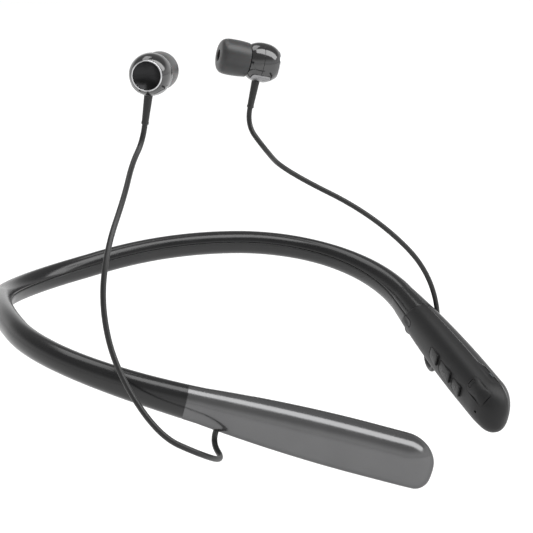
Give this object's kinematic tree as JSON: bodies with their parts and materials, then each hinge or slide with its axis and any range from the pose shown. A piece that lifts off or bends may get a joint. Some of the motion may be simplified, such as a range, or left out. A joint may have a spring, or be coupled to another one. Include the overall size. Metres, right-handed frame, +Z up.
{
  "type": "neckband earphones",
  "caption": "Neckband earphones: a flexible collar ending in two slim pods with keys and a charging port, each pod carrying a thin cord up to an in-ear earbud.",
  "frame": {"origin": "middle of the band's inner face, where it lies on the nape", "axes": "+Y the way the wearer faces, from the nape to the pods; +X to the wearer's right; +Z up along the neck"},
  "size_m": [0.1588, 0.1573, 0.1135],
  "materials": {
    "band_gloss": "gloss",
    "band_soft": "satin",
    "steel_wire": "drawn",
    "loom_sleeve": "satin",
    "pod_grey": "gloss",
    "pod_black": "fine matte",
    "key_black": "satin",
    "board": "solder mask",
    "steel": "satin",
    "lamp": "clear",
    "flap": "matte",
    "cell": "foil",
    "foam": "foam",
    "cord": "satin",
    "bud_gunmetal": "mirror lacquer",
    "bud_black": "gloss",
    "chrome": "polished",
    "dish": "gloss",
    "silicone": "satin",
    "saddle": "gloss"
  },
  "bodies": {
    "headset": {"band_cover": "band_gloss", "neck_strip": "band_soft", "spring_wire": "steel_wire", "band_loom": "loom_sleeve", "pod_outer_left": "pod_grey", "pod_inner_left": "pod_black", "pod_outer_right": "pod_grey", "pod_inner_right": "pod_black", "main_board": "board", "board_screws": "steel", "tact_switches": "steel", "vibration_motor": "steel", "microphone": "steel", "lamp_window": "lamp", "port_connector": "steel", "battery_cell": "cell", "battery_pad": "foam", "guard_board": "board", "grommet_left": "flap", "grommet_right": "flap", "cord_left": "cord", "cord_right": "cord", "rear_shell_left": "bud_gunmetal", "front_shell_left": "bud_black", "bezel_ring_left": "chrome", "dish_left": "dish", "driver_left": "steel", "nozzle_mesh_left": "steel", "saddle_left": "saddle", "boot_left": "flap", "rear_shell_right": "bud_gunmetal", "front_shell_right": "bud_black", "bezel_ring_right": "chrome", "dish_right": "dish", "driver_right": "steel", "nozzle_mesh_right": "steel", "saddle_right": "saddle", "boot_right": "flap"},
    "volume_down": {"volume_down_key": "key_black"},
    "multi": {"multi_key": "key_black"},
    "volume_up": {"volume_up_key": "key_black"},
    "power": {"power_button": "key_black"},
    "port_flap": {"port_cover": "flap"},
    "tip_left": {"ear_tip_left": "silicone"},
    "tip_right": {"ear_tip_right": "silicone"}
  },
  "joints": [
    {"name": "volume_down_press", "type": "slide", "parent": "headset", "child": "volume_down", "axis": [-0.7997, 0.6004, 0], "range_m": [0, 0.00035], "stiffness_N_per_m": 900, "springref_m": -0.0003},
    {"name": "multi_press", "type": "slide", "parent": "headset", "child": "multi", "axis": [-0.7997, 0.6004, 0], "range_m": [0, 0.00035], "stiffness_N_per_m": 900, "springref_m": -0.0003},
    {"name": "volume_up_press", "type": "slide", "parent": "headset", "child": "volume_up", "axis": [-0.7997, 0.6004, 0], "range_m": [0, 0.00035], "stiffness_N_per_m": 900, "springref_m": -0.0003},
    {"name": "power_press", "type": "slide", "parent": "headset", "child": "power", "axis": [-0.7997, 0.6004, 0], "range_m": [0, 0.00035], "stiffness_N_per_m": 900, "springref_m": -0.0003},
    {"name": "port_flap_hinge", "type": "hinge", "parent": "headset", "child": "port_flap", "pos_m": [-0.02252, 0.14503, -0.01908], "axis": [-0.442, 0.589, 0.6765], "range_deg": [0, 100]},
    {"name": "ear_tip_left_pull", "type": "slide", "parent": "headset", "child": "tip_left", "axis": [0.6727, -0.7146, 0.1918], "range_m": [0, 0.005]},
    {"name": "ear_tip_right_pull", "type": "slide", "parent": "headset", "child": "tip_right", "axis": [-0.945, -0.3209, -0.063], "range_m": [0, 0.005]}
  ]
}
